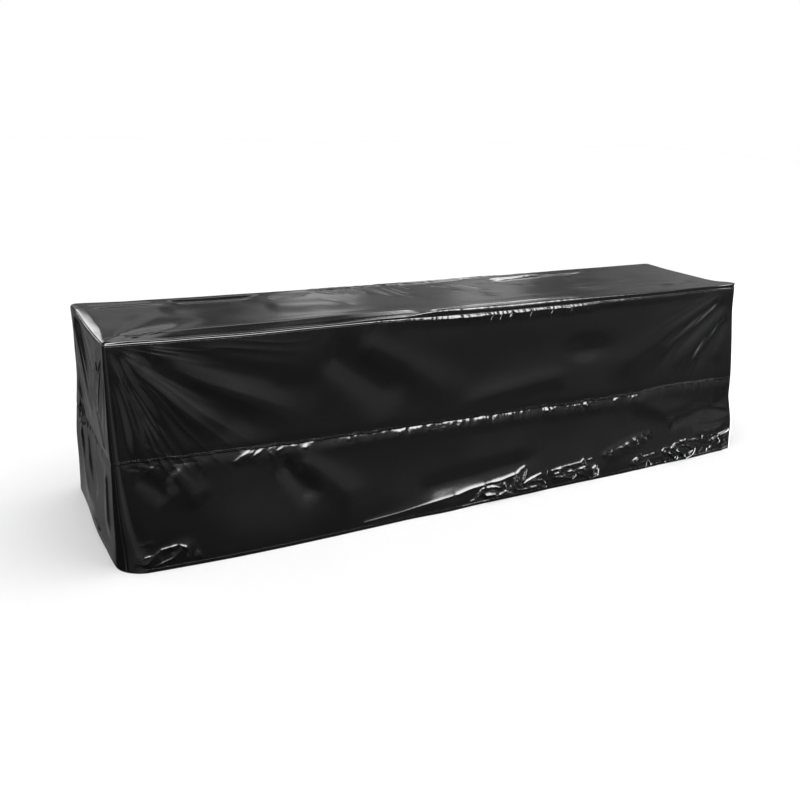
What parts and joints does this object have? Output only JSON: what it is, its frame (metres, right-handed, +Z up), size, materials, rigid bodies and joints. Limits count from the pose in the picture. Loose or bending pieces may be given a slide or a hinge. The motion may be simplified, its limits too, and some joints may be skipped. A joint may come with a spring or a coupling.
{
  "type": "boxing ring cover",
  "caption": "Long box-shaped fitted cover of glossy black vinyl, open at the bottom, with flared walls, a level seam round the middle and soft uneven folds.",
  "frame": {"origin": "middle of the underside of the top panel, where the covered stack carries the cover", "axes": "+X along the cover's length, -Y towards its front, +Z up; the hem is at the lowest Z"},
  "size_m": [3.7353, 1.1047, 1.0125],
  "materials": {
    "vinyl_top": "glossy black vinyl-coated cloth, slightly dulled on top",
    "vinyl_upper": "glossy black vinyl-coated cloth, pulled in soft folds",
    "vinyl_lower": "glossy black vinyl-coated cloth, crumpled near the hem"
  },
  "bodies": {
    "root": {"top_panel": "vinyl_top", "upper_front": "vinyl_upper", "lower_front": "vinyl_lower", "upper_right": "vinyl_upper", "lower_right": "vinyl_lower", "upper_back": "vinyl_upper", "lower_back": "vinyl_lower", "upper_left": "vinyl_upper", "lower_left": "vinyl_lower"}
  },
  "joints": []
}
